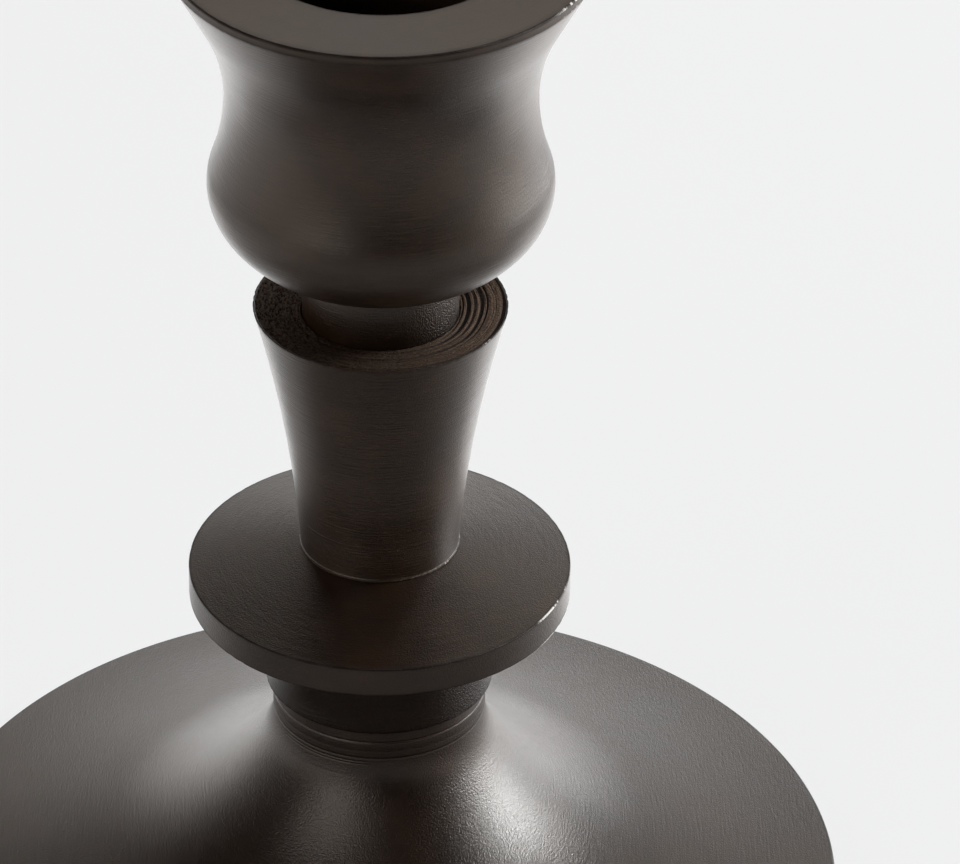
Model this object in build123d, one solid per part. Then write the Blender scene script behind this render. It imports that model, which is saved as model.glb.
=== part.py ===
from build123d import *
import math
import os

# A turned wooden candlestick for one taper candle. Millimetres, +Z up, origin at the centre of the
# felt's lower face, which rests on the table. Five turned pieces stand on one another: base, collar,
# drip disc, stem and candle cup. Tenons keep them in line, and a steel tie rod, screwed into an insert
# in the cup, pulls the stack together with a nut and a washer in a counterbore under the base.

# Candle and cup
candle_radius = 11.1        # a standard 7/8 in taper is 22.2 across
candle_clearance = 0.4      # radial room round the candle
bore_depth = 22.0           # candle socket, mouth to floor
waist_wall = 2.4            # wood left round the socket at the cup's waist
rim_width = 7.4             # flat ring between the mouth and the rim's outer edge
rim_band = 0.8              # upright edge under the rim's flat top
rim_round = 0.25            # rounding of the mouth and of the rim
lip_height = 13.7           # waist up to the rim band
lip_bend_radius = 17.2      # bend that turns the waist into the lip's straight flare
belly_swell = 1.55          # belly beyond the waist
shoulder_height = 8.9       # belly up to the waist
shoulder_turn = 0.2         # share of the shoulder where its curve turns from round to hollow
bowl_depth = 8.0            # belly down to the bowl's underside
bowl_round = 10.35          # reach of the bowl's rounded underside, inward from the belly
neck_show = 4.95            # neck to be seen between the bowl and the stem
neck_wall = 3.05            # wood round the insert in the neck
neck_seat_depth = 7.0       # neck held inside the stem

# Stem
stem_height = 25.2
stem_top_radius = 11.45
stem_foot_radius = 7.2
stem_hollow = 0.6           # how far the side bows in from a straight taper
stem_dish = 0.45            # fall of the top face towards the neck

# Drip disc
disc_radius = 17.4
disc_edge = 2.85            # thickness at the edge
disc_rise = 2.55            # slope of the top, edge up to the stem's foot
disc_edge_round = 0.2

# Collar
collar_height = 9.1
collar_foot_radius = 10.45
collar_top_radius = 9.8
collar_hollow = 0.12        # how far the collar's side bows in
collar_foot_round = 0.25

# Base
base_radius = 42.7
base_edge = 4.45            # upright edge of the base
base_edge_round = 0.5       # upper corner of that edge
base_foot_round = 0.5       # lower corner of that edge
flare_height = 19.1         # top of the edge up to the foot of the neck
cove_radius = 6.0           # tight hollow where the neck opens into the bell
cove_slope = 54.0           # degrees from level at which the cove runs into the bell
bell_radius = 29.5          # long hollow of the bell
bell_slope = 19.0           # degrees from level at which the bell runs out into the skirt
base_neck_radius = 9.75
base_neck_height = 3.2
ring_width = 0.4            # V-cut rings on the base's neck
ring_depth = 0.2
ring_drop = 1.45            # upper ring, below the collar

# Joinery
tenon_clearance = 0.1       # radial, each glued tenon in its socket
glue_gap = 0.4              # past the end of a tenon that has a shoulder
stem_tenon_radius = 5.0
stem_tenon_entry = 3.6      # stem tenon in the collar, past the disc
collar_tenon_radius = 6.5
collar_tenon_length = 7.0

# Tie rod and its fittings, M5
rod_radius = 2.5
rod_clearance = 0.25        # radial, rod in the wood
rod_tail = 1.5              # rod past the nut
rod_short = 0.8             # rod's end below the insert's top
thread_clearance = 0.05     # radial, threads and the insert's outside
insert_radius = 4.0
insert_length = 10.0
insert_recess = 0.5         # insert above the neck's lower end
washer_radius = 7.5
washer_thickness = 1.2
washer_clearance = 0.15     # radial, rod in the washer
nut_across_flats = 8.0
nut_thickness = 4.0
counterbore_clearance = 1.5  # radial room for the socket spanner round the washer
counterbore_headroom = 1.0   # between the rod's end and the felt

# Felt
felt_thickness = 1.2
felt_inset = 3.0            # base's edge beyond the felt's

# Heights, from the table up
base_bottom = felt_thickness
edge_top = base_bottom + base_edge
base_neck_foot = edge_top + flare_height
base_top = base_neck_foot + base_neck_height
collar_top = base_top + collar_height
disc_edge_top = collar_top + disc_edge
disc_top = disc_edge_top + disc_rise
stem_top = disc_top + stem_height
bowl_bottom = stem_top + neck_show
belly_level = bowl_bottom + bowl_depth
waist_level = belly_level + shoulder_height
band_foot = waist_level + lip_height
cup_top = band_foot + rim_band

# Radii that follow from the fits
bore_radius = candle_radius + candle_clearance
waist_radius = bore_radius + waist_wall
belly_radius = waist_radius + belly_swell
rim_radius = bore_radius + rim_width
neck_radius = insert_radius + neck_wall
rod_hole_radius = rod_radius + rod_clearance

# Levels of the hidden joints
neck_bottom = stem_top - neck_seat_depth
insert_bottom = neck_bottom + insert_recess
stem_tenon_bottom = collar_top - stem_tenon_entry
collar_tenon_bottom = base_top - collar_tenon_length
counterbore_depth = washer_thickness + nut_thickness + rod_tail + counterbore_headroom
counterbore_top = base_bottom + counterbore_depth
washer_bottom = counterbore_top - washer_thickness
nut_bottom = washer_bottom - nut_thickness


def turned(outline):
    """Revolve a closed half section, drawn as radius against height, about the Z axis."""
    return revolve(make_face(Plane.XZ * Curve(outline)), Axis.Z)


def rod(radius, bottom, top):
    """An upright cylinder on the Z axis between two levels."""
    return Pos(0, 0, bottom) * Cylinder(radius, top - bottom, align=(Align.CENTER, Align.CENTER, Align.MIN))


def bend_to_line(start, heading, radius, turn, end):
    """An arc from start and the straight line, tangent to it, that ends at end.

    heading is the first direction in degrees from +X, and turn is 1 to bend left or -1 to bend right.
    """
    angle = math.radians(heading)
    way = Vector(math.cos(angle), math.sin(angle))
    centre = Vector(start) + Vector(-way.Y, way.X) * turn * radius
    back = centre - Vector(end)
    lean = math.degrees(math.asin(turn * radius / back.length))
    last_heading = math.degrees(math.atan2(back.Y, back.X)) - 180 + lean
    sweep = (turn * (last_heading - heading)) % 360
    arc = JernArc(start, way, radius, turn * sweep)
    return [arc, Line(arc @ 1, end)]


def closed_through(edges, *corners):
    """The edges in order, then straight lines through the corners and back to the first edge's start."""
    points = [edges[-1] @ 1, *corners, edges[0] @ 0]
    return edges + [Line(a, b) for a, b in zip(points, points[1:])]


def ring_cut(radius, level):
    """A V-section ring that cuts ring_depth into an upright wall of this radius."""
    spare = ring_depth / 2
    half = ring_width / 2 * (ring_depth + spare) / ring_depth
    tip = (radius - ring_depth, level)
    low = (radius + spare, level - half)
    high = (radius + spare, level + half)
    return turned([Line(tip, low), Line(low, high), Line(high, tip)])


def edges_at(solid, level):
    """The edges that lie flat at one level."""
    return solid.edges().filter_by_position(Axis.Z, level - 0.001, level + 0.001)


def largest_edge_at(solid, level):
    """The outermost circular edge at one level."""
    return edges_at(solid, level).sort_by(SortBy.RADIUS)[-1]


def make_candle_cup():
    """The bell of the rim, the waist and the round bowl, with the candle socket and the neck below."""
    bowl_centre = belly_radius - bowl_round
    underside = EllipticalCenterArc((bowl_centre, belly_level), bowl_round, bowl_depth, 270, arc_size=90)
    turn_radius = belly_radius - shoulder_turn * belly_swell
    turn_level = belly_level + shoulder_turn * shoulder_height
    shoulder = TangentArc((belly_radius, belly_level), (turn_radius, turn_level), tangent=(0, 1))
    hollow = TangentArc((turn_radius, turn_level), (waist_radius, waist_level), tangent=shoulder % 1)
    lip = bend_to_line((waist_radius, waist_level), 90, lip_bend_radius, -1, (rim_radius, band_foot))
    outline = closed_through(
        [underside, shoulder, hollow, *lip],
        (rim_radius, cup_top), (0, cup_top), (0, bowl_bottom),
    )
    cup = turned(outline) + rod(neck_radius, neck_bottom, bowl_bottom + bowl_depth / 2)
    cup -= rod(bore_radius, cup_top - bore_depth, cup_top)
    cup -= rod(insert_radius + thread_clearance, neck_bottom, insert_bottom + insert_length)
    return fillet(edges_at(cup, cup_top), rim_round)


def make_stem():
    """The hollow taper, with the neck's socket in its dished top and a tenon below its foot."""
    side = SagittaArc((stem_foot_radius, disc_top), (stem_top_radius, stem_top), stem_hollow)
    socket_radius = neck_radius + tenon_clearance
    outline = closed_through(
        [side],
        (socket_radius, stem_top - stem_dish), (socket_radius, neck_bottom), (0, neck_bottom),
        (0, stem_tenon_bottom), (stem_tenon_radius, stem_tenon_bottom), (stem_tenon_radius, disc_top),
    )
    return turned(outline) - rod(rod_hole_radius, stem_tenon_bottom, neck_bottom)


def make_drip_disc():
    """The thin disc whose top falls away from the stem to a crisp edge."""
    top = Line((stem_foot_radius, disc_top), (disc_radius, disc_edge_top))
    outline = closed_through([top], (disc_radius, collar_top), (0, collar_top), (0, disc_top))
    disc = turned(outline) - rod(stem_tenon_radius + tenon_clearance, collar_top, disc_top)
    rims = [largest_edge_at(disc, disc_edge_top), largest_edge_at(disc, collar_top)]
    return fillet(rims, disc_edge_round)


def make_collar():
    """The ring under the disc, with the stem tenon's socket above and a tenon of its own below."""
    side = SagittaArc((collar_foot_radius, base_top), (collar_top_radius, collar_top), collar_hollow)
    outline = closed_through(
        [side],
        (0, collar_top), (0, collar_tenon_bottom), (collar_tenon_radius, collar_tenon_bottom),
        (collar_tenon_radius, base_top),
    )
    collar = turned(outline)
    socket_floor = stem_tenon_bottom - glue_gap
    collar -= rod(stem_tenon_radius + tenon_clearance, socket_floor, collar_top)
    collar -= rod(rod_hole_radius, collar_tenon_bottom, socket_floor)
    return fillet(largest_edge_at(collar, base_top), collar_foot_round)


def make_base():
    """The wide foot: a ringed neck, a cove, a hollow bell and a low skirt, with the bores for the stack."""
    neck = Line((base_neck_radius, base_top), (base_neck_radius, base_neck_foot))
    cove = JernArc(neck @ 1, neck % 1, cove_radius, 90 - cove_slope)
    bell = JernArc(cove @ 1, cove % 1, bell_radius, cove_slope - bell_slope)
    skirt = TangentArc(bell @ 1, (base_radius, edge_top), tangent=bell % 1)
    outline = closed_through(
        [neck, cove, bell, skirt],
        (base_radius, base_bottom), (0, base_bottom), (0, base_top),
    )
    base = turned(outline)
    base = fillet(largest_edge_at(base, edge_top), base_edge_round)
    base = fillet(largest_edge_at(base, base_bottom), base_foot_round)
    base -= ring_cut(base_neck_radius, base_top - ring_drop)
    base -= ring_cut(base_neck_radius, base_neck_foot)
    socket_floor = collar_tenon_bottom - glue_gap
    base -= rod(collar_tenon_radius + tenon_clearance, socket_floor, base_top)
    base -= rod(rod_hole_radius, counterbore_top, socket_floor)
    base -= rod(washer_radius + counterbore_clearance, base_bottom, counterbore_top)
    return base


def make_tie_rod():
    """The threaded rod, from below the nut up into the insert."""
    return rod(rod_radius, nut_bottom - rod_tail, insert_bottom + insert_length - rod_short)


def make_threaded_insert():
    """The brass insert in the cup's neck that takes the rod's upper end."""
    insert = rod(insert_radius, insert_bottom, insert_bottom + insert_length)
    return insert - rod(rod_radius + thread_clearance, insert_bottom, insert_bottom + insert_length)


def make_washer():
    """The wide washer that spreads the nut's load over the wood."""
    washer = rod(washer_radius, washer_bottom, counterbore_top)
    return washer - rod(rod_radius + washer_clearance, washer_bottom, counterbore_top)


def make_hex_nut():
    """The nut that clamps the stack."""
    outline = RegularPolygon(nut_across_flats / 2, 6, major_radius=False)
    nut = extrude(Pos(0, 0, nut_bottom) * outline, nut_thickness)
    return nut - rod(rod_radius + thread_clearance, nut_bottom, washer_bottom)


def make_felt_pad():
    """The round felt glued over the counterbore, on which the candlestick stands."""
    return rod(base_radius - felt_inset, 0, felt_thickness)


pieces = {
    "base": make_base(),
    "collar": make_collar(),
    "drip_disc": make_drip_disc(),
    "stem": make_stem(),
    "candle_cup": make_candle_cup(),
    "tie_rod": make_tie_rod(),
    "threaded_insert": make_threaded_insert(),
    "washer": make_washer(),
    "hex_nut": make_hex_nut(),
    "felt_pad": make_felt_pad(),
}

os.makedirs("parts", exist_ok=True)
for node, piece in pieces.items():
    export_step(piece, f"parts/{node}.step")
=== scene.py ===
# A turned wooden candlestick: ebonised beech under satin lacquer, five pieces stacked on a steel tie rod.
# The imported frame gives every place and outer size. Each wooden piece is a profile turned about Z.
import math

import bpy
import numpy as np
from mathutils import Matrix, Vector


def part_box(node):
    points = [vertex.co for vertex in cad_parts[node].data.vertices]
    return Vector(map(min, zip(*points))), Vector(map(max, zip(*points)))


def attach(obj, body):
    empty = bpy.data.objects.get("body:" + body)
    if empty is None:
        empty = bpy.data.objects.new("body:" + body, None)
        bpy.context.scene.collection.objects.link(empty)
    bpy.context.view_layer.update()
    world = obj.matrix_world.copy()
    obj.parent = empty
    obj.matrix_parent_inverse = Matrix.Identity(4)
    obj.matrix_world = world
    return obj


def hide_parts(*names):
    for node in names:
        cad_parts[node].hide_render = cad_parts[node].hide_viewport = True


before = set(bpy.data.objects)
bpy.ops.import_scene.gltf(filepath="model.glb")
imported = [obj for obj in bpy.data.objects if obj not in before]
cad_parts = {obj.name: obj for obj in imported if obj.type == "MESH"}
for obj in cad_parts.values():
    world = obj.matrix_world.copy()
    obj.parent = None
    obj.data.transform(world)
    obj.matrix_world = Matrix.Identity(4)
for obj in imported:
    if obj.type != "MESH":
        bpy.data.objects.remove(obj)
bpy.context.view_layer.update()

mm = 0.001
scene = bpy.context.scene


def linearColour(hexText):
    values = [int(hexText[i:i + 2], 16) / 255 for i in (1, 3, 5)]  # sRGB to linear
    return [v / 12.92 if v <= 0.04045 else ((v + 0.055) / 1.055) ** 2.4 for v in values] + [1.0]


def perMetre(size):
    return 1 / (size * mm)  # scale of a pattern whose features are size mm across


def addNode(tree, kind, sockets=None, **properties):
    # sockets: an input's name or index, and its value or the output that feeds it
    node = tree.nodes.new("ShaderNode" + kind)
    for name, value in properties.items():
        setattr(node, name, value)
    for key, value in (sockets or {}).items():
        if isinstance(value, bpy.types.NodeSocket):
            tree.links.new(value, node.inputs[key])
        else:
            node.inputs[key].default_value = value
    return node


def newMaterial(name):
    material = bpy.data.materials.new(name)
    material.use_nodes = True
    material.node_tree.nodes.clear()
    return material, material.node_tree


def boxOf(node):
    low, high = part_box(node)
    return np.array(low) / mm, np.array(high) / mm


def axesAt(across, over, back, place):
    # a matrix with these three axes, at a place in metres
    matrix = np.eye(4)
    matrix[:3] = np.stack([across, over, back, place], 1)
    return Matrix(matrix.tolist())


def finishPiece(piece, node, material):
    piece.data.materials.append(material)
    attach(piece, "root")
    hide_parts(node)


# Profiles are arrays of radius and height in mm.

def line(*corners):
    return np.array(corners, float)


def arc(centre, radius, start, end, count=60):
    # points at centre + radius * (cos a, sin a), a from start to end in degrees; radius may be a pair
    a = np.radians(np.linspace(start, end, count))
    size = np.broadcast_to(np.asarray(radius, float), 2)
    return np.stack([centre[0] + size[0] * np.cos(a), centre[1] + size[1] * np.sin(a)], 1)


def bowed(start, end, sagitta, count=60):
    # a parabola from start to end that stands off its chord by sagitta, to the left of the way
    t = np.linspace(0, 1, count)[:, None]
    a, b = np.array(start, float), np.array(end, float)
    way = (b - a) / np.hypot(*(b - a))
    left = np.array([-way[1], way[0]])
    return a + (b - a) * t + left * sagitta * 4 * t * (1 - t)


def bends(start, heading, steps, end=None):
    # Arcs that each start where the last one ends, in its direction. A step is a radius and the degrees
    # turned to the left. With an end, one more arc of the radius that it takes goes on to it.
    at = np.array(start, float)
    parts = []
    for radius, turn in steps:
        left = np.array([-math.sin(math.radians(heading)), math.cos(math.radians(heading))])
        parts.append(arc(at + left * radius, radius, heading - 90, heading - 90 + turn))
        at, heading = parts[-1][-1], heading + turn
    if end is not None:
        chord = np.array(end, float) - at
        turn = 2 * (math.degrees(math.atan2(chord[1], chord[0])) - heading)
        radius = np.hypot(*chord) / (2 * math.sin(math.radians(turn) / 2))
        parts.append(bends(at, heading, [(radius, turn)]))
    return np.concatenate(parts)


def bendToLine(start, heading, radius, end):
    # an arc from start, bending right, and the tangent line from it to end
    start, end = np.array(start, float), np.array(end, float)
    angle = math.radians(heading)
    centre = start - radius * np.array([-math.sin(angle), math.cos(angle)])
    back = centre - end
    last = math.atan2(back[1], back[0]) - math.pi + math.asin(-radius / np.hypot(*back))
    sweep = (heading - math.degrees(last)) % 360
    return np.concatenate([arc(centre, radius, heading + 90, heading + 90 - sweep), end[None]])


def softened(profile, sanding, closed, step=0.02):
    # evenly spaced points, then a Gaussian blur along the run with the sanding radius as its width
    points = np.concatenate([profile, profile[:1]]) if closed else profile
    points = points[np.r_[True, np.hypot(*np.diff(points, axis=0).T) > 1e-6]]
    run = np.r_[0, np.cumsum(np.hypot(*np.diff(points, axis=0).T))]
    even = np.linspace(0, run[-1], int(run[-1] / step), endpoint=not closed)
    points = np.stack([np.interp(even, run, points[:, i]) for i in (0, 1)], 1)
    reach = int(4 * sanding / step) + 1
    kernel = np.exp(-0.5 * (np.arange(-reach, reach + 1) * step / sanding) ** 2)
    kernel /= kernel.sum()
    if closed:
        padded = np.concatenate([points[-reach:], points, points[:reach]])
    else:  # mirrored through each end, so that the ends stay where they are
        padded = np.concatenate([2 * points[0] - points[reach:0:-1], points,
                                 2 * points[-1] - points[-2:-reach - 2:-1]])
    return even, np.stack([np.convolve(padded[:, i], kernel, "valid") for i in (0, 1)], 1)


# Marks of the tools, as functions of radius, height and angle. Angles go round from +X to +Y, and a value
# that ends in At is a direction and a width in degrees.

def smoothStep(low, high, value):
    t = np.clip((value - low) / (high - low), 0, 1)
    return t * t * (3 - 2 * t)


def drift(value, pitch, seed):
    # smooth random heights from -1 to 1: one random number at each multiple of pitch, eased between
    heights = np.random.default_rng(seed).uniform(-1, 1, 4096)
    place = value / pitch + 2048
    whole = np.floor(place).astype(int)
    share = smoothStep(0, 1, place - whole)
    return heights[whole] * (1 - share) + heights[whole + 1] * share


def waveRound(angle, low, high, seed):
    # a sum of 12 cosines with low to high waves a turn, mostly between -1 and 1
    random = np.random.default_rng(seed)
    waves = random.integers(low, high, 12)
    phases = random.uniform(0, 2 * np.pi, 12)
    return np.cos(angle[..., None] * waves + phases).sum(-1) / 4


def near(angle, centre, width):
    # 1 in the centre's direction, falling away over about width degrees either side
    away = (np.degrees(angle) - centre + 180) % 360 - 180
    return np.exp(-(away / width) ** 2)


def notch(value, centre, width, depth):
    # a V groove: depth at the centre, nothing at half the width either side
    return depth * np.clip(1 - np.abs(value - centre) * 2 / width, 0, 1)


def angles(columns):
    return np.linspace(0, 2 * np.pi, columns, endpoint=False)


def gridMesh(name, radius, height, closed, marks):
    # x = r cos a, y = r sin a, z = h on a grid of rows along the section and columns round the circle.
    # A closed section joins its last row to its first. An open one is closed by a fan at each pole.
    rows, columns = radius.shape
    turn = angles(columns)
    co = np.stack([radius * np.cos(turn), radius * np.sin(turn), height], 2).reshape(-1, 3)
    index = np.arange(rows * columns).reshape(rows, columns)
    beside = np.roll(index, -1, 1)
    count = rows if closed else rows - 1
    above, aboveBeside = np.roll(index, -1, 0), np.roll(beside, -1, 0)
    faces = [np.stack([index, beside, aboveBeside, above], 2)[:count].reshape(-1, 4)]
    marks = {key: np.broadcast_to(value, radius.shape).reshape(-1) for key, value in marks.items()}
    volume = ((radius + np.roll(radius, -1, 0)) ** 2 * (np.roll(height, -1, 0) - height))[:count].sum()
    if not closed:
        first, last = rows * columns, rows * columns + 1
        co = np.concatenate([co, [[0, 0, height[0].mean()], [0, 0, height[-1].mean()]]])
        faces += [np.stack([beside[0], index[0], np.full(columns, first)], 1),
                  np.stack([index[-1], beside[-1], np.full(columns, last)], 1)]
        marks = {key: np.r_[value, value[0], value[-1]] for key, value in marks.items()}
    way = 1 if volume > 0 else -1  # so that the faces point outward
    loops = np.concatenate([part[:, ::way].reshape(-1) for part in faces])
    sizes = np.concatenate([np.full(len(part), part.shape[1]) for part in faces])
    mesh = bpy.data.meshes.new(name)
    mesh.vertices.add(len(co))
    mesh.vertices.foreach_set("co", (co * mm).astype(np.float32).reshape(-1))
    mesh.loops.add(len(loops))
    mesh.loops.foreach_set("vertex_index", loops.astype(np.int32))
    mesh.polygons.add(len(sizes))
    mesh.polygons.foreach_set("loop_start", np.r_[0, np.cumsum(sizes)[:-1]].astype(np.int32))
    mesh.update(calc_edges=True)
    mesh.validate()
    for key, values in marks.items():
        mesh.attributes.new(key, "FLOAT", "POINT").data.foreach_set("value", values.astype(np.float32))
    mesh.shade_smooth()
    piece = bpy.data.objects.new(name, mesh)
    scene.collection.objects.link(piece)
    return piece


def turnedMesh(name, profile, t, relief=None):
    # Rows lie even along the run and closer where the profile bends. t["focus"] is a box of low and high
    # radius and height that takes its own share of them. Convex edges are nicked, their lacquer is thin,
    # and they are painted pale in the directions that the piece lists, as wear and as a painted highlight
    # where the key light glints: each a direction and width in degrees, and a strength. The relief function
    # gives what to add to radius and height, and marks: raw wood, pale ridges that are partly painted
    # highlight, coarseness.
    closed = t.get("closed", True)
    run, points = softened(profile, t["sanding"], closed)
    way = np.gradient(points, run, axis=0)
    bend = np.gradient(np.unwrap(np.arctan2(way[:, 1], way[:, 0])), run)
    weight = 0.45 / len(run) + 0.55 * np.abs(bend) / np.abs(bend).sum()
    if "focus" in t:
        low, high, part = t["focus"]
        inside = ((points > low) & (points < high)).all(1)
        weight = np.where(inside, part / inside.sum(), weight / weight[~inside].sum() * (1 - part))
    share = np.r_[0, np.cumsum((weight[1:] + weight[:-1]) / 2)]
    at = np.interp(np.linspace(0, share[-1], t["rows"], endpoint=not closed), share, run)
    radius, height, bend = (np.interp(at, run, v)[:, None] for v in (points[:, 0], points[:, 1], bend))
    area = np.sum(np.diff(points[:, 0]) * (points[1:, 1] + points[:-1, 1])) / 2
    edge = np.clip(bend * (np.sign(-area) if closed else 1) / 2, 0, 1)
    turn = angles(t["columns"])[None, :]
    nick = np.clip(waveRound(turn, 5, 90, t["seed"]), 0, None) * edge * t.get("nicks", 0)
    # painted highlight along with wear: edges are paled in the listed directions, where the key light glints
    rubGlint = 0 * turn
    for centre, width, strength in t.get("rubbedGlint", ()):
        rubGlint = rubGlint + strength * near(turn, centre, width)
    breaks = waveRound(turn, 3, 45, t["seed"] + 1) + 0.6 * waveRound(turn, 45, 170, t["seed"] + 2)
    breaks = smoothStep(-0.7, 0.3, breaks)
    thin = edge * (0.5 + 0.25 * smoothStep(-1, 1, waveRound(turn, 2, 40, t["seed"] + 3)))
    addRadius, addHeight, more = relief(radius, height, turn) if relief else (0, 0, {})
    ring = radius + addRadius - nick
    level = np.broadcast_to(height + addHeight, ring.shape)
    marks = {"run": at[:, None], "wornGlint": edge * np.clip(rubGlint, 0, 1) * breaks,
             "raw": np.maximum(thin, more.pop("raw", 0))}
    return gridMesh(name, ring, level, closed, marks | more)


# Lens in mm, distance from the axis at the height "aim" in mm, and turns in degrees
view = {"lens": 300.0, "distance": 721.6, "pitch": 32.919, "yaw": 0.7151, "roll": 0.198, "aim": 54.0}


def makeCamera(v):
    # forward looks down by pitch, turned right by yaw about the up vector, then rolled about itself
    p, a, r = (math.radians(v[k]) for k in ("pitch", "yaw", "roll"))
    ahead, right = np.array([0, math.cos(p), -math.sin(p)]), np.array([1.0, 0, 0])
    up = np.cross(right, ahead)
    place = np.array([0, 0, v["aim"]]) - ahead * v["distance"]
    turned = ahead * math.cos(a) + right * math.sin(a)
    side = right * math.cos(a) - ahead * math.sin(a)
    across = side * math.cos(r) + up * math.sin(r)
    over = up * math.cos(r) - side * math.sin(r)
    data = bpy.data.cameras.new("camera")
    data.lens, data.sensor_width, data.clip_start = v["lens"], 36.0, 0.01
    camera = bpy.data.objects.new("camera", data)
    camera.matrix_world = axesAt(across, over, -turned, place * mm)
    scene.collection.objects.link(camera)
    scene.camera = camera


makeCamera(view)
print("stage: camera")

# Ebonised beech: turned, sanded, stained nearly black and sprayed with satin lacquer. It shows as a
# near-black brown with broad soft highlights, a fine orange-peel stipple and faint lathe lines.
# A pattern's size in mm comes before its height in mm. Grain is its width, length and height. Beech's
# pores are some 0.07 mm wide, too fine to draw, so they are drawn twice as coarse.
ebonisedBeech = {
    "dark": "#150902", "warm": "#291707", "fleck": "#30221a", "rawDark": "#0d0502", "rawPale": "#8a7058",
    "wornGlint": "#d5cfc5", "tint": "#fff2e6", "rawTint": "#5c4636", "ior": 1.6,
    "roughness": 0.35, "uneven": 0.03, "rawRougher": 0.35, "scuffRougher": 0.3,
    "cloud": 9.0, "stipple": (0.15, 0.018), "coarse": 0.13, "lathe": (0.2, 0.006), "pores": (0.16, 0.08),
    "grain": (0.15, 2.2, 0.026), "alongY": False,
}
finishes = {
    "Cup": dict(ebonisedBeech, stipple=(0.15, 0.015), coarse=0.16),
    "Stem": dict(ebonisedBeech, rawPale="#7e6450", grain=(0.15, 2.6, 0.034), lathe=(0.24, 0.016)),
    # painted shade: the disc and base take a slightly darker stain than the cup and stem, and the collar
    # under the disc a much darker one
    "Disc": dict(ebonisedBeech, dark="#120601", warm="#231205", stipple=(0.15, 0.038)),
    "Collar": dict(ebonisedBeech, dark="#0b0301", warm="#160a04", ior=1.3, roughness=0.15),
    "Base": dict(ebonisedBeech, dark="#120601", warm="#231205", roughness=0.31, stipple=(0.14, 0.035),
                 grain=(0.16, 3.0, 0.024), alongY=True),
}


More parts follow.
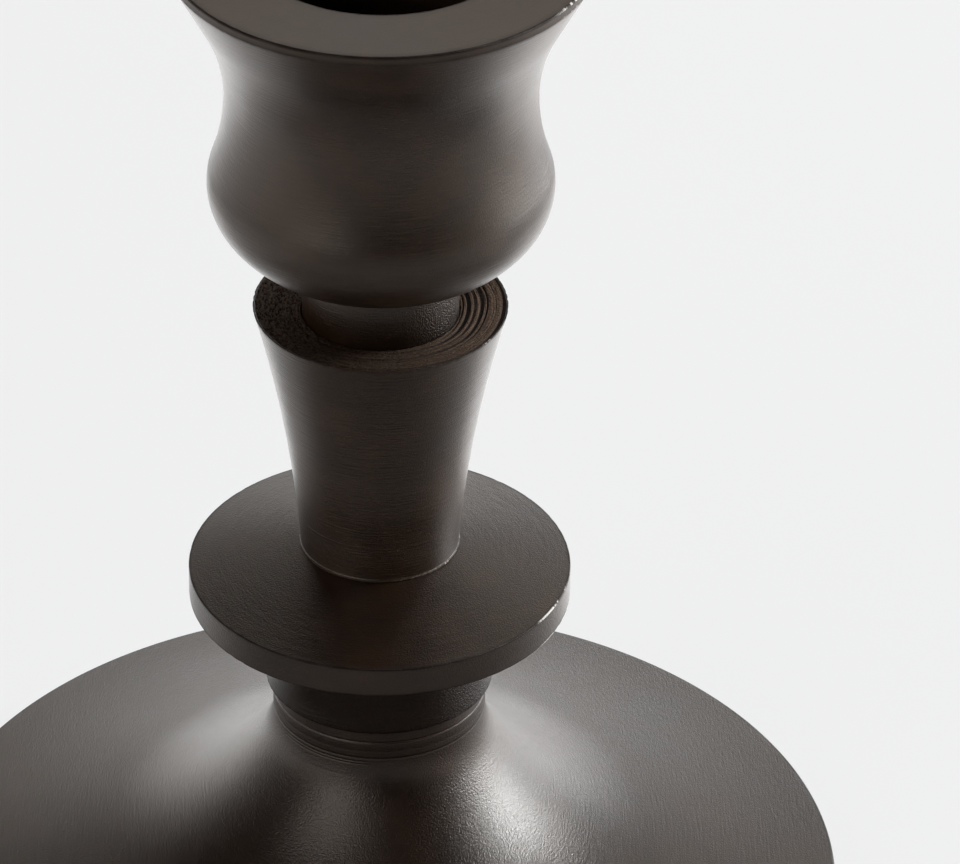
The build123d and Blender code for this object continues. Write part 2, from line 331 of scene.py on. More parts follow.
def makeWood(part):
    w = finishes[part]
    material, tree = newMaterial("ebonisedBeech" + part)
    place = addNode(tree, "TexCoord").outputs["Object"]
    run, wornGlint, raw, ridgeAndHighlight, coarse = (addNode(tree, "Attribute", attribute_name=key).outputs["Fac"]
                                     for key in ("run", "wornGlint", "raw", "ridgeAndHighlight", "coarse"))
    width, length, grainHeight = w["grain"]
    stippleSize, stippleHeight = w["stipple"]
    latheSize, latheHeight = w["lathe"]
    poreSize, poreHeight = w["pores"]
    long, cross = perMetre(length), perMetre(width)
    # fibres lie round a turned spindle, or along Y on a base cut from a plank
    stretch = (cross, long, cross) if w["alongY"] else (long, long, cross)
    laid = addNode(tree, "VectorMath", {0: place, 1: stretch}, operation="MULTIPLY").outputs["Vector"]
    grain = addNode(tree, "TexNoise", {"Vector": laid, "Scale": 1.0, "Detail": 3.0}).outputs["Fac"]
    cloud = addNode(tree, "TexNoise", {"Vector": place, "Scale": perMetre(w["cloud"]), "Detail": 5.0,
                                       "Roughness": 0.6}).outputs["Fac"]
    stipple = addNode(tree, "TexNoise", {"Vector": place, "Scale": perMetre(stippleSize),
                                         "Detail": 2.5}).outputs["Fac"]
    lathe = addNode(tree, "TexNoise", {"W": run, "Scale": 1 / latheSize, "Detail": 3.0},
                    noise_dimensions="1D").outputs["Fac"]
    pores = addNode(tree, "TexNoise", {"Vector": place, "Scale": perMetre(poreSize), "Detail": 3.0,
                                       "Roughness": 0.7}).outputs["Fac"]

    # Colour: cloudy stain with pale flecks, bare brown wood where it is raw, its ridges paled partly as
    # painted highlight, and chalky pale on edges, as wear and as painted highlight.
    mixed = addNode(tree, "Math", {0: grain, 1: 0.35, 2: cloud}, operation="MULTIPLY_ADD").outputs["Value"]
    stain = addNode(tree, "MapRange", {"Value": mixed, "From Min": 0.52, "From Max": 0.84}).outputs["Result"]
    tone = addNode(tree, "Mix", {"Factor": stain, 6: linearColour(w["dark"]), 7: linearColour(w["warm"])},
                   data_type="RGBA").outputs[2]
    flecks = addNode(tree, "MapRange", {"Value": stipple, "From Min": 0.58, "From Max": 0.75,
                                        "To Max": 0.5}).outputs["Result"]
    tone = addNode(tree, "Mix", {"Factor": flecks, 6: tone, 7: linearColour(w["fleck"])},
                   data_type="RGBA").outputs[2]
    fibre = addNode(tree, "MapRange", {"Value": pores, "From Min": 0.35, "From Max": 0.62,
                                       "To Min": 0.15}).outputs["Result"]
    pale = addNode(tree, "Math", {0: fibre, 1: ridgeAndHighlight}, operation="MULTIPLY").outputs["Value"]
    bare = addNode(tree, "Mix", {"Factor": pale, 6: linearColour(w["rawDark"]),
                                 7: linearColour(w["rawPale"])}, data_type="RGBA").outputs[2]
    tone = addNode(tree, "Mix", {"Factor": raw, 6: tone, 7: bare}, data_type="RGBA").outputs[2]
    # painted highlight along with wear: chalky pale where the edges are paled
    scuffGlint = addNode(tree, "Math", {0: pores, 1: 0.8, 2: wornGlint}, operation="MULTIPLY_ADD").outputs["Value"]
    scuffGlint = addNode(tree, "MapRange", {"Value": scuffGlint, "From Min": 0.72,
                                       "From Max": 0.95}).outputs["Result"]
    tone = addNode(tree, "Mix", {"Factor": scuffGlint, 6: tone, 7: linearColour(w["wornGlint"])},
                   data_type="RGBA").outputs[2]

    # Roughness drifts with the cloud, and is higher on bare and scuffed wood. Bare wood shines less.
    rough = addNode(tree, "MapRange", {"Value": cloud, "From Min": 0.3, "From Max": 0.7,
                                       "To Min": w["roughness"] - w["uneven"],
                                       "To Max": w["roughness"] + w["uneven"]}).outputs["Result"]
    for share, rougher in ((raw, w["rawRougher"]), (scuffGlint, w["scuffRougher"])):
        rough = addNode(tree, "Math", {0: share, 1: rougher, 2: rough},
                        operation="MULTIPLY_ADD").outputs["Value"]
    tint = addNode(tree, "Mix", {"Factor": raw, 6: linearColour(w["tint"]), 7: linearColour(w["rawTint"])},
                   data_type="RGBA").outputs[2]

    # Height in mm: stipple, deeper where it is coarse, lathe lines, grain, and open pores in raw wood.
    peel = addNode(tree, "Math", {0: coarse, 1: w["coarse"], 2: stippleHeight},
                   operation="MULTIPLY_ADD").outputs["Value"]
    opened = addNode(tree, "Math", {0: pores, 1: raw}, operation="MULTIPLY").outputs["Value"]
    rise = addNode(tree, "Math", {0: stipple, 1: peel}, operation="MULTIPLY").outputs["Value"]
    for pattern, height in ((lathe, latheHeight), (grain, grainHeight), (opened, poreHeight)):
        rise = addNode(tree, "Math", {0: pattern, 1: height, 2: rise},
                       operation="MULTIPLY_ADD").outputs["Value"]
    bump = addNode(tree, "Bump", {"Height": rise, "Strength": 1.0, "Distance": mm}).outputs["Normal"]
    shader = addNode(tree, "BsdfPrincipled", {"Base Color": tone, "Roughness": rough, "IOR": w["ior"],
                                              "Specular Tint": tint, "Normal": bump})
    addNode(tree, "OutputMaterial", {"Surface": shader.outputs["BSDF"]})
    return material


# Candle cup: flared rim over a waist and a round bowl, the candle's socket inside, the neck below.
cup = {"boreRadius": 11.5, "boreDepth": 22.0, "rimBand": 0.8, "lipHeight": 13.7, "lipBend": 17.2,
       "waistRadius": 13.9, "bellyRadius": 15.45, "shoulderHeight": 8.9, "shoulderTurn": 0.2,
       "bowlDepth": 8.0, "bowlRound": 10.35, "neckRadius": 7.05, "insertRadius": 4.05, "insertTop": 10.5,
       "drillPitch": 0.7, "drillPale": 0.12, "waveDepth": 0.009, "wavePitch": 0.7, "coarseAt": (-25, 42),
       "sanding": 0.13, "rows": 300, "columns": 288, "nicks": 0.03, "seed": 3, "closed": False,
       # painted highlight: the rim's edge is painted pale at the right front, as wear and as a glint of the
       # key light
       "rubbedGlint": [(-24, 14, 0.75)]}


def cupProfile(c):
    low, high = boxOf("candle_cup")
    rim, top, foot = high[0], high[2], low[2]
    bandFoot = top - c["rimBand"]
    waist = bandFoot - c["lipHeight"]
    belly = waist - c["shoulderHeight"]
    floor, insertTop = top - c["boreDepth"], foot + c["insertTop"]
    bowl = arc((c["bellyRadius"] - c["bowlRound"], belly), (c["bowlRound"], c["bowlDepth"]), 275, 360)
    bowl = bowl[bowl[:, 0] > c["neckRadius"]]
    # the shoulder's S leaves the belly upright and meets the waist upright
    swell = c["bellyRadius"] - c["waistRadius"]
    lean = math.degrees(math.atan2(swell, c["shoulderHeight"]))
    turnRadius = c["shoulderTurn"] * (swell ** 2 + c["shoulderHeight"] ** 2) / (2 * swell)
    return np.concatenate([
        line((0.01, insertTop), (c["insertRadius"], insertTop), (c["insertRadius"], foot),
             (c["neckRadius"], foot), (c["neckRadius"], bowl[0, 1])),
        bowl,
        bends((c["bellyRadius"], belly), 90, [(turnRadius, 2 * lean)], (c["waistRadius"], waist)),
        bendToLine((c["waistRadius"], waist), 90, c["lipBend"], (rim, bandFoot)),
        line((rim, top), (c["boreRadius"], top), (c["boreRadius"], floor), (0.01, floor)),
    ])


def cupRelief(radius, height, turn):
    # bare drilled wood in the socket, coarse lacquer on the neck's right, faint tool waves on the side
    low, high = boxOf("candle_cup")
    socket = (1 - smoothStep(11.4, 11.6, radius)) * smoothStep(high[2] - 23, high[2] - 22.5, height)
    neck = 1 - smoothStep(low[2] + 11.5, low[2] + 12.2, height)
    rings = smoothStep(0.2, 0.7, drift(height + 0.1 * waveRound(turn, 1, 4, 21), cup["drillPitch"], 22))
    side = smoothStep(12.4, 12.8, radius) * (1 - smoothStep(high[2] - 2, high[2] - 1, height))
    waves = side * (1 + drift(height + 0.3 * waveRound(turn, 1, 4, 24), cup["wavePitch"], 25))
    return -cup["waveDepth"] * waves, 0, {"raw": socket, "ridgeAndHighlight": cup["drillPale"] * rings,
                                          "coarse": neck * near(turn, *cup["coarseAt"])}


candleCup = turnedMesh("candleCup", cupProfile(cup), cup, cupRelief)
finishPiece(candleCup, "candle_cup", makeWood("Cup"))

# Stem: a hollow taper. Its dished top is end grain, cut with coarse rings that stay wavy and unsanded.
stem = {"footRadius": 7.2, "hollow": 0.6, "dish": 0.45, "socketRadius": 7.15, "seatDepth": 7.0,
        "rodHole": 2.75, "tenonRadius": 5.0, "footBead": 0.14, "ringPitch": 0.2, "ringDepth": 0.2,
        "finePitch": 0.12, "fineShare": 0.15, "waveDepth": 0.013, "wavePitch": 0.8,
        # painted highlight: the top's edge is painted pale at the right front, as wear and as a glint of the
        # key light
        "sanding": 0.07, "rows": 340, "columns": 440, "nicks": 0.04, "seed": 5, "rubbedGlint": [(-34, 5, 0.5)]}


def stemProfile(s):
    low, high = boxOf("stem")
    bottom, top, crown = low[2], high[2], high[0]
    foot = boxOf("drip_disc")[1][2]
    seat, bead = top - s["seatDepth"], s["footBead"]
    return np.concatenate([
        line((s["rodHole"], bottom), (s["tenonRadius"], bottom), (s["tenonRadius"], foot),
             (s["footRadius"] + bead, foot), (s["footRadius"] + bead, foot + bead)),
        bowed((s["footRadius"], foot + 2 * bead), (crown, top), s["hollow"]),
        line((s["socketRadius"], top - s["dish"]), (s["socketRadius"], seat), (s["rodHole"], seat)),
    ])


def stemRelief(radius, height, turn):
    # wavy grooves deepest on the right, finer ones between, and pits in the end grain at the left
    crown, top = boxOf("stem")[1][[0, 2]]
    onTop = (1 - smoothStep(crown - 0.3, crown - 0.15, radius)) * smoothStep(top - 0.7, top - 0.55, height)
    side = smoothStep(7.1, 7.3, radius) * (1 - smoothStep(top - 1.2, top - 0.8, height))
    waves = side * (1 + drift(height + 0.3 * waveRound(turn, 1, 5, 36), stem["wavePitch"], 37))
    wander = radius + 0.1 * waveRound(turn, 1, 8, 31)
    right, left = near(turn, -5, 70), near(turn, 165, 75)
    coarse = smoothStep(-0.3, 0.5, drift(wander, stem["ringPitch"], 32)) * (0.15 + 0.85 * right)
    fine = drift(radius + 0.04 * waveRound(turn, 3, 24, 33), stem["finePitch"], 34)
    cells = np.random.default_rng(35).uniform(0, 1, (len(radius) // 4 + 1, turn.size // 2))
    pits = cells.repeat(4, 0).repeat(2, 1)[:len(radius)] ** 2.5 * (0.12 + 0.88 * left)
    deep = np.clip(coarse + stem["fineShare"] * (1 + fine) + pits, 0, 1.2)
    # painted highlight: the ridges are paled most at the right, less at the left and hardly in front, as the
    # lamps light the top
    ridgeAndHighlight = np.clip(1 - 0.95 * deep, 0, 1) * (0.03 + 0.5 * left + 0.8 * right)
    return -stem["waveDepth"] * waves, -onTop * stem["ringDepth"] * deep, {"raw": onTop, "ridgeAndHighlight": ridgeAndHighlight}


# more of the rows go to the rings of the top
crown, _, top = boxOf("stem")[1]
stem["focus"] = ((stem["socketRadius"], top - 0.6), (crown - 0.1, top + 1), 0.42)
stemPiece = turnedMesh("stemTurned", stemProfile(stem), stem, stemRelief)
finishPiece(stemPiece, "stem", makeWood("Stem"))

# Drip disc: its top falls from the stem to a crisp edge, painted pale at the right as wear and highlight.
disc = {"edge": 2.85, "hole": 5.1, "foot": 7.2, "sanding": 0.07, "rows": 200, "columns": 384, "nicks": 0.02,
        # painted highlight: the edge is painted pale at the right front, as wear and as a glint of the key
        # light
        "seed": 7, "rubbedGlint": [(-24, 11, 0.85)]}


def discProfile(d):
    low, high = boxOf("drip_disc")
    return line((d["hole"], low[2]), (high[0], low[2]), (high[0], low[2] + d["edge"]), (d["foot"], high[2]),
                (d["hole"], high[2]))


dripDisc = turnedMesh("dripDisc", discProfile(disc), disc)
finishPiece(dripDisc, "drip_disc", makeWood("Disc"))

# Collar: a low ring whose side bows in a little.
collar = {"footRadius": 10.45, "topRadius": 9.8, "hollow": 0.12, "tenonRadius": 6.5, "socketRadius": 5.1,
          "socketDepth": 4.0, "rodHole": 2.75, "thinner": 0.13, "thinnerAt": (-138, 30),
          "coarseAt": (-30, 42), "sanding": 0.14, "rows": 200, "columns": 256, "nicks": 0.03, "seed": 9}


def collarProfile(c):
    low, high = boxOf("collar")
    seat, socket = boxOf("base")[1][2], high[2] - c["socketDepth"]
    return np.concatenate([
        line((c["rodHole"], low[2]), (c["tenonRadius"], low[2]), (c["tenonRadius"], seat),
             (c["footRadius"], seat)),
        bowed((c["footRadius"], seat), (c["topRadius"], high[2]), c["hollow"]),
        line((c["socketRadius"], high[2]), (c["socketRadius"], socket), (c["rodHole"], socket)),
    ])


def collarRelief(radius, height, turn):
    # coarse lacquer at the right, and a side sanded thinner just above its foot at the front left
    seat = boxOf("base")[1][2]
    outside = smoothStep(collar["topRadius"] - 0.6, collar["topRadius"] - 0.4, radius)
    above = smoothStep(seat + 0.15, seat + 1.5, height) * near(turn, *collar["thinnerAt"])
    return -collar["thinner"] * outside * above, 0, {"coarse": near(turn, *collar["coarseAt"])}


collarPiece = turnedMesh("collarTurned", collarProfile(collar), collar, collarRelief)
finishPiece(collarPiece, "collar", makeWood("Collar"))

# Base: ringed neck, cove, hollow bell and low skirt, with the bores for the stack.
base = {"neckRadius": 9.75, "neckHeight": 3.2, "flareHeight": 19.1, "coveRadius": 6.0, "coveSlope": 54.0,
        "bellRadius": 29.5, "bellSlope": 19.0, "socketRadius": 6.6, "socketDepth": 7.4, "rodHole": 2.75,
        "boreRadius": 9.0, "boreDepth": 7.7, "ringWidth": 0.26, "ringDepth": 0.09, "ringDrop": 1.45,
        "linePitch": 0.12, "lineDepth": 0.016, "strayWidth": 0.16, "strayDepth": 0.06,
        "strayDrops": (0.4, 0.66), "sanding": 0.22, "rows": 300, "columns": 320, "seed": 11}


def baseProfile(b):
    low, high = boxOf("base")
    outer, top, bottom = high[0], high[2], low[2]
    neckFoot = top - b["neckHeight"]
    steps = [(b["coveRadius"], 90 - b["coveSlope"]), (b["bellRadius"], b["coveSlope"] - b["bellSlope"])]
    floor, socket = bottom + b["boreDepth"], top - b["socketDepth"]
    return np.concatenate([
        line((b["socketRadius"], top), (b["neckRadius"], top)),
        bends((b["neckRadius"], neckFoot), -90, steps, (outer, neckFoot - b["flareHeight"])),
        line((outer, bottom), (b["boreRadius"], bottom), (b["boreRadius"], floor), (b["rodHole"], floor),
             (b["rodHole"], socket), (b["socketRadius"], socket)),
    ])


def baseRelief(radius, height, turn):
    # V-cut rings on the neck, tool lines between them, and two short stray grooves at the front left
    top, neck = boxOf("base")[1][2], base["neckRadius"]
    upper, lower = top - base["ringDrop"], top - base["neckHeight"]
    outside = smoothStep(neck - 0.6, neck - 0.4, radius) * smoothStep(lower - 4, lower - 3, height)
    rings = notch(height, upper, base["ringWidth"], base["ringDepth"])
    rings = rings + notch(height, lower, base["ringWidth"], base["ringDepth"] / 2)
    band = smoothStep(lower, lower + 0.2, height) * (1 - smoothStep(upper - 0.3, upper - 0.1, height))
    lines = band * drift(height + 0.01 * waveRound(turn, 2, 20, 42), base["linePitch"], 41)
    degrees = np.degrees(turn) - 360
    stray = smoothStep(-154, -146, degrees) * (1 - smoothStep(-99, -96, degrees))
    short = sum(notch(height, lower - drop, base["strayWidth"], base["strayDepth"])
                for drop in base["strayDrops"]) * stray
    faint = notch(height, lower - 1.9, 0.3, 0.02) * near(turn, -120, 18)
    cut = rings + base["lineDepth"] * lines + short + faint
    return -outside * cut, 0, {"raw": 0.3 * outside * band, "ridgeAndHighlight": 0.05 * band}


# more of the rows go to the rings of the neck
top = boxOf("base")[1][2]
base["focus"] = ((base["neckRadius"] - 0.5, top - 5.5), (base["neckRadius"] + 2, top - 0.1), 0.3)
basePiece = turnedMesh("baseTurned", baseProfile(base), base, baseRelief)
finishPiece(basePiece, "base", makeWood("Base"))
print("stage: turned wood")

# Pressed wool felt, dyed black: matt, with short fibres standing at its cut edge. Wool fibres are some
# 0.03 mm thick, too fine to draw, so they are drawn coarser.
felt = {"colour": "#1b1a1b", "fibre": "#3a3839", "fibreSize": 0.35, "fibreHeight": 0.15, "fuzz": 0.09,
        "sanding": 0.1, "rows": 150, "columns": 400, "seed": 13, "closed": False}


def feltProfile():
    low, high = boxOf("felt_pad")
    return line((0.01, low[2]), (high[0], low[2]), (high[0], high[2]), (0.01, high[2]))


def feltRelief(radius, height, turn):
    # loose fibres: random vertices drawn inward on the cut edge
    loose = np.random.default_rng(felt["seed"]).uniform(0, 1, (len(radius), turn.size))
    outer = boxOf("felt_pad")[1][0]
    rim = smoothStep(outer - 0.3, outer - 0.1, radius)
    return -felt["fuzz"] * loose * rim, 0, {}


def makeFelt(f):
    material, tree = newMaterial("pressedWoolFelt")
    place = addNode(tree, "TexCoord").outputs["Object"]
    fibres = addNode(tree, "TexNoise", {"Vector": place, "Scale": perMetre(f["fibreSize"]), "Detail": 6.0,
                                        "Roughness": 0.7, "Distortion": 1.5}).outputs["Fac"]
    share = addNode(tree, "MapRange", {"Value": fibres, "From Min": 0.4, "From Max": 0.7}).outputs["Result"]
    tone = addNode(tree, "Mix", {"Factor": share, 6: linearColour(f["colour"]), 7: linearColour(f["fibre"])},
                   data_type="RGBA").outputs[2]
    bump = addNode(tree, "Bump", {"Height": fibres, "Strength": 0.8, "Distance": f["fibreHeight"] * mm})
    shader = addNode(tree, "BsdfPrincipled", {"Base Color": tone, "Roughness": 0.95, "IOR": 1.5,
                                              "Sheen Weight": 0.25, "Sheen Roughness": 0.5,
                                              "Normal": bump.outputs["Normal"]})
    addNode(tree, "OutputMaterial", {"Surface": shader.outputs["BSDF"]})
    return material


feltPad = turnedMesh("feltPad", feltProfile(), felt, feltRelief)
finishPiece(feltPad, "felt_pad", makeFelt(felt))
print("stage: felt")

# Hardware: an M5 rod with a nut and a washer, and the brass insert that is screwed into the cup's neck.
rodThread = {"major": 2.5, "depth": 0.49, "pitch": 0.8}
insertThread = {"major": 4.0, "depth": 0.6, "pitch": 2.0}
hardware = {"clearance": 0.05, "rowsPerPitch": 8, "countersink": 0.15, "flats": 4.0, "nutChamfer": 3.85,
            "rodColumns": 48, "ringColumns": 96, "crease": 35}


def threadRadius(height, turn, t):
    # a V thread with a flat crest and root, one pitch higher for each turn to the left
    flank = np.abs((height / t["pitch"] - turn / (2 * np.pi)) % 1 * 2 - 1)
    return t["major"] - t["depth"] * np.clip((flank - 0.125) / 0.625, 0, 1)


def levels(low, high):
    # even heights, a few for each turn of the rod's thread
    step = rodThread["pitch"] / hardware["rowsPerPitch"]
    return np.linspace(low, high, round((high - low) / step) + 1)[:, None]


def rodMesh(name, node):
    # the thread, turned down to its root at both ends
    low, high = boxOf(node)
    up, turn = levels(low[2], high[2]), angles(hardware["rodColumns"])[None, :]
    toEnd = np.minimum(up - low[2], high[2] - up)
    radius = np.minimum(threadRadius(up, turn, rodThread), rodThread["major"] - rodThread["depth"] + toEnd)
    return gridMesh(name, radius, np.broadcast_to(up, radius.shape), False, {"run": up})


def threadedRing(name, node, outerRadius):
    # the outer wall upward, then the threaded bore downward with a countersink at each end
    low, high = boxOf(node)
    up, turn = levels(low[2], high[2]), angles(hardware["ringColumns"])[None, :]
    toEnd = np.minimum(up - low[2], high[2] - up)
    bore = np.maximum(threadRadius(up, turn, rodThread) + hardware["clearance"],
                      rodThread["major"] + hardware["countersink"] - toEnd)
    radius = np.concatenate([outerRadius(up, toEnd, turn), bore[::-1]])
    height = np.broadcast_to(np.concatenate([up, up[::-1]]), radius.shape)
    return gridMesh(name, radius, height, True, {"run": height})


def hexRadius(height, toEnd, turn):
    # a hexagon, its corners cut back by a 30 degree cone at each face
    side = hardware["flats"] / np.cos((turn % (np.pi / 3)) - np.pi / 6)
    return np.minimum(side, hardware["nutChamfer"] + toEnd * math.sqrt(3))


def insertRadius(height, toEnd, turn):
    root = insertThread["major"] - insertThread["depth"]
    return np.minimum(threadRadius(height, turn, insertThread), root + toEnd)


metals = {
    # bright zinc plate over steel: cool, with a faint blue and straw cast and a fine cloudy grain
    "zincPlatedSteel": {"dark": "#a3a8ae", "pale": "#d2d0c6", "roughness": 0.28, "cloud": 2.5, "line": 0.15,
                        "lineHeight": 0.003},
    # brass as it leaves the lathe: warm, with fine turning lines and a little brown tarnish
    "turnedBrass": {"dark": "#a07c3c", "pale": "#dcb765", "roughness": 0.24, "cloud": 3.0, "line": 0.12,
                    "lineHeight": 0.004},
}


def makeMetal(name, m):
    material, tree = newMaterial(name)
    place = addNode(tree, "TexCoord").outputs["Object"]
    run = addNode(tree, "Attribute", attribute_name="run").outputs["Fac"]
    cloud = addNode(tree, "TexNoise", {"Vector": place, "Scale": perMetre(m["cloud"]),
                                       "Detail": 6.0}).outputs["Fac"]
    lines = addNode(tree, "TexNoise", {"W": run, "Scale": 1 / m["line"], "Detail": 2.0},
                    noise_dimensions="1D").outputs["Fac"]
    share = addNode(tree, "MapRange", {"Value": cloud, "From Min": 0.35, "From Max": 0.65}).outputs["Result"]
    tone = addNode(tree, "Mix", {"Factor": share, 6: linearColour(m["dark"]), 7: linearColour(m["pale"])},
                   data_type="RGBA").outputs[2]
    rough = addNode(tree, "MapRange", {"Value": cloud, "From Min": 0.3, "From Max": 0.7,
                                       "To Min": m["roughness"] + 0.08, "To Max": m["roughness"] - 0.04})
    bump = addNode(tree, "Bump", {"Height": lines, "Strength": 1.0, "Distance": m["lineHeight"] * mm})
    shader = addNode(tree, "BsdfPrincipled", {"Base Color": tone, "Metallic": 1.0,
                                              "Roughness": rough.outputs["Result"],
                                              "Normal": bump.outputs["Normal"]})
    addNode(tree, "OutputMaterial", {"Surface": shader.outputs["BSDF"]})
    return material


washer = {"hole": 2.65, "sanding": 0.07, "rows": 60, "columns": 128, "seed": 15}


def washerProfile(w):
    low, high = boxOf("washer")
    return line((w["hole"], low[2]), (high[0], low[2]), (high[0], high[2]), (w["hole"], high[2]))


zinc, brass = (makeMetal(name, metals[name]) for name in ("zincPlatedSteel", "turnedBrass"))
for piece, node, slotName, material in (
        (rodMesh("tieRod", "tie_rod"), "tie_rod", "zinc_plated_steel", zinc),
        (turnedMesh("washerPressed", washerProfile(washer), washer), "washer", "zinc_plated_steel", zinc),
        (threadedRing("hexNut", "hex_nut", hexRadius), "hex_nut", "zinc_plated_steel", zinc),
        (threadedRing("threadedInsert", "threaded_insert", insertRadius), "threaded_insert", "brass", brass)):
    if node != "washer":  # cut pieces have sharp edges
        piece.data.set_sharp_from_angle(angle=math.radians(hardware["crease"]))
    finishPiece(piece, node, material)
print("stage: hardware")

# Studio: a white paper sweep, in shade towards the front, and soft boxes a metre from the object. Sizes in
# metres. White and gloss are how bright the camera and the gloss see the paper.
studio = {"sweepRadius": 3.0, "sweepBend": 0.7, "wall": 3.2, "columns": 128, "paper": "#f1efee",
          "white": 0.875, "gloss": 1.0, "shadowShare": 0.12, "wallDark": 0.03, "wallFades": (0.45, 0.9),
          "turnsAt": (0.095, 0.108), "turnsBy": 0.65, "frontFades": (-1.0, -0.1), "fill": 0.03,
          "lampsAim": 0.04, "cardsRise": 0.001}
# How bright the gloss sees the paper in front of the object: metres from the axis, and level
frontShade = [(0.062, 0.46), (0.069, 0.0), (0.097, 0.0), (0.106, 0.7), (0.15, 0.7), (0.175, 0.15),
              (0.26, 0.15), (0.3, 0.5), (0.45, 0.5), (0.9, 0.1)]
softBoxes = {
    # degrees round from +X, degrees up, width and height in metres, power in watts, colour
    "key": (16, 26, 0.34, 0.24, 11.6, "#edf7ff"),
    "keyLow": (28, 12, 0.28, 0.22, 2.2, "#edf7ff"),
    "tableRight": (12, 3, 0.60, 0.18, 1.2, "#ffffff"),
    "tableBackRight": (48, 2, 0.55, 0.10, 1.4, "#f4faff"),
    "backRight": (64, 12, 0.50, 0.20, 0.62, "#f4faff"),
    "backLeft": (122, 10, 0.60, 0.25, 0.48, "#fffaf4"),
    "tableBackLeft": (136, 2, 0.40, 0.10, 0.15, "#ffffff"),
    "backHigh": (80, 40, 1.00, 0.36, 1.7, "#fffaf4"),
    "right": (-2, 38, 0.36, 0.36, 0.4, "#ffffff"),
    "frontLeft": (-132, 37, 0.55, 0.45, 2.1, "#ffffff"),
    "frontLeftLow": (-130, 8, 0.70, 0.30, 0.7, "#ffffff"),
}
cards = {
    # lit panels flat on the table: degrees round, metres from the axis, width and depth, power, colour
    "cardRight": (20, 0.48, 0.50, 0.40, 1.6, "#ffffff"),
    "cardBack": (88, 0.48, 0.90, 0.40, 4.5, "#ffffff"),
    "cardBehind": (80, 0.10, 0.26, 0.11, 0.12, "#ffffff"),
}


def makeSweep(s):
    # a disc that bends up into a wall, turned about Z
    floor = s["sweepRadius"] - s["sweepBend"]
    section = np.concatenate([
        np.stack([np.geomspace(0.02, floor, 20), np.zeros(20)], 1),
        arc((floor, s["sweepBend"]), s["sweepBend"], -80, 0, 12),
        [[s["sweepRadius"], s["wall"]]],
    ]) / mm
    turn = angles(s["columns"])
    radius = np.broadcast_to(section[:, :1], (len(section), len(turn)))
    x, y = radius * np.cos(turn) * mm, radius * np.sin(turn) * mm
    z = np.broadcast_to(section[:, 1:], x.shape) * mm
    index = np.arange(x.size).reshape(x.shape)
    quads = np.stack([index[:-1], index[1:], np.roll(index[1:], -1, 1), np.roll(index[:-1], -1, 1)], 2)
    mesh = bpy.data.meshes.new("sweep")
    mesh.from_pydata(np.stack([x, y, z], 2).reshape(-1, 3).tolist(), [],
                     quads.reshape(-1, 4).tolist() + [index[0].tolist()])
    mesh.shade_smooth()
    sweep = bpy.data.objects.new("sweep", mesh)
    scene.collection.objects.link(sweep)
    mesh.materials.append(makePaper(s))


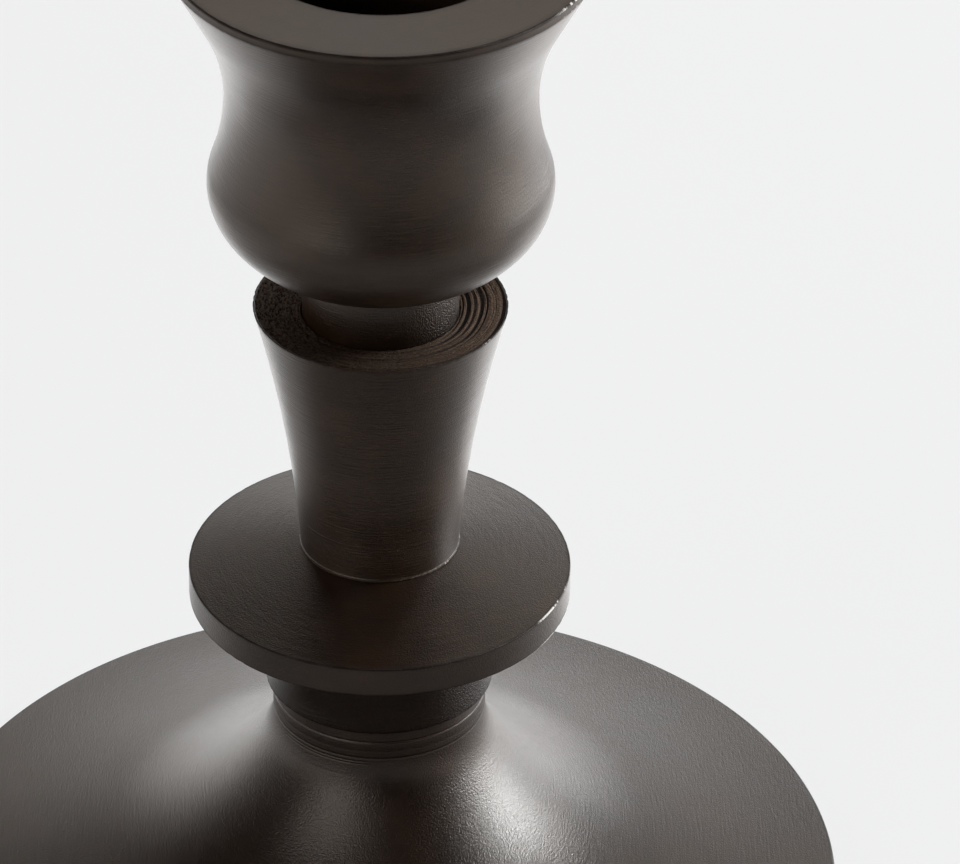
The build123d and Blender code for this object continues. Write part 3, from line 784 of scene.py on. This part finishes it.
def makePaper(s):
    # Matt paper. The camera and the gloss see it near white, with a share left to the lamps so that it
    # keeps the shadow. The gloss sees it shaded in front of the object, and dark up the wall.
    material, tree = newMaterial("whitePaper")
    rays = addNode(tree, "LightPath").outputs
    place = addNode(tree, "TexCoord").outputs["Object"]
    along = addNode(tree, "SeparateXYZ", {"Vector": place}).outputs
    flat = addNode(tree, "VectorMath", {0: place, 1: (1, 1, 0)}, operation="MULTIPLY").outputs["Vector"]
    reach = addNode(tree, "VectorMath", {0: flat}, operation="LENGTH").outputs["Value"]
    sine = addNode(tree, "Math", {0: along["Y"], 1: reach}, operation="DIVIDE").outputs["Value"]

    # behind is 1 at the back and 0 at the front; near the object the shade reaches further round
    clear = addNode(tree, "MapRange", {"Value": reach, "From Min": s["turnsAt"][0],
                                       "From Max": s["turnsAt"][1]}).outputs["Result"]
    spread = addNode(tree, "Math", {0: clear, 1: s["turnsBy"], 2: -s["turnsBy"]},
                     operation="MULTIPLY_ADD").outputs["Value"]
    behind = addNode(tree, "Math", {0: sine, 1: spread}, operation="ADD").outputs["Value"]
    behind = addNode(tree, "MapRange", {"Value": behind, "From Min": s["frontFades"][0],
                                        "From Max": s["frontFades"][1]},
                     interpolation_type="SMOOTHSTEP").outputs["Result"]
    ramp = addNode(tree, "ValToRGB", {"Fac": reach})
    for distance, grey in frontShade:
        ramp.color_ramp.elements.new(distance).color = (grey, grey, grey, 1)
    for end in (-1, 0):  # the two elements that a new ramp comes with
        ramp.color_ramp.elements.remove(ramp.color_ramp.elements[end])
    ground = addNode(tree, "Mix", {"Factor": behind, 2: ramp.outputs["Color"], 3: s["gloss"]},
                     data_type="FLOAT").outputs[0]
    rise = addNode(tree, "MapRange", {"Value": along["Z"], "From Min": s["wallFades"][0],
                                      "From Max": s["wallFades"][1], "To Min": 1.0,
                                      "To Max": s["wallDark"]}).outputs["Result"]
    seen = addNode(tree, "Math", {0: ground, 1: rise}, operation="MULTIPLY").outputs["Value"]
    level = addNode(tree, "Mix", {"Factor": rays["Is Camera Ray"], 2: seen, 3: s["white"]},
                    data_type="FLOAT").outputs[0]

    direct = rays["Is Camera Ray"]
    for kind in ("Is Glossy Ray", "Is Transmission Ray"):
        direct = addNode(tree, "Math", {0: direct, 1: rays[kind]}, operation="MAXIMUM").outputs["Value"]
    share = addNode(tree, "Math", {0: direct, 1: 1 - s["shadowShare"]}, operation="MULTIPLY").outputs["Value"]
    glow = addNode(tree, "Emission", {"Color": [1.0, 1.0, 1.0, 1.0], "Strength": level})
    matt = addNode(tree, "BsdfDiffuse", {"Color": linearColour(s["paper"])})
    both = addNode(tree, "MixShader", {0: share, 1: matt.outputs["BSDF"], 2: glow.outputs["Emission"]})
    addNode(tree, "OutputMaterial", {"Surface": both.outputs["Shader"]})
    return material


def aimed(azimuth, elevation):
    # the way to the light, and the level direction across it
    a, e = math.radians(azimuth), math.radians(elevation)
    way = np.array([math.cos(e) * math.cos(a), math.cos(e) * math.sin(a), math.sin(e)])
    return way, np.array([-math.sin(a), math.cos(a), 0])


def addPanel(name, place, side, back, width, height, power, colour):
    # a lit rectangle that shines away from its back, and that the camera doesn't see
    data = bpy.data.lights.new(name, "AREA")
    data.shape, data.size, data.size_y, data.energy = "RECTANGLE", width, height, power
    data.color = linearColour(colour)[:3]
    light = bpy.data.objects.new(name, data)
    light.matrix_world = axesAt(side, np.cross(back, side), back, place)
    light.visible_camera = False
    scene.collection.objects.link(light)


makeSweep(studio)
for name, (azimuth, elevation, *values) in softBoxes.items():
    way, side = aimed(azimuth, elevation)
    addPanel(name, way + (0, 0, studio["lampsAim"]), side, way, *values)
for name, (azimuth, distance, *values) in cards.items():
    way, side = aimed(azimuth, 0)
    addPanel(name, way * distance + (0, 0, studio["cardsRise"]), side, np.array([0, 0, -1.0]), *values)
world = bpy.data.worlds.new("world")
world.use_nodes = True
world.node_tree.nodes.clear()
fill = addNode(world.node_tree, "Background", {"Color": [1.0, 1.0, 1.0, 1.0], "Strength": studio["fill"]})
addNode(world.node_tree, "OutputWorld", {"Surface": fill.outputs["Background"]})
scene.world = world
scene.view_settings.view_transform = "Standard"
print("stage: light")
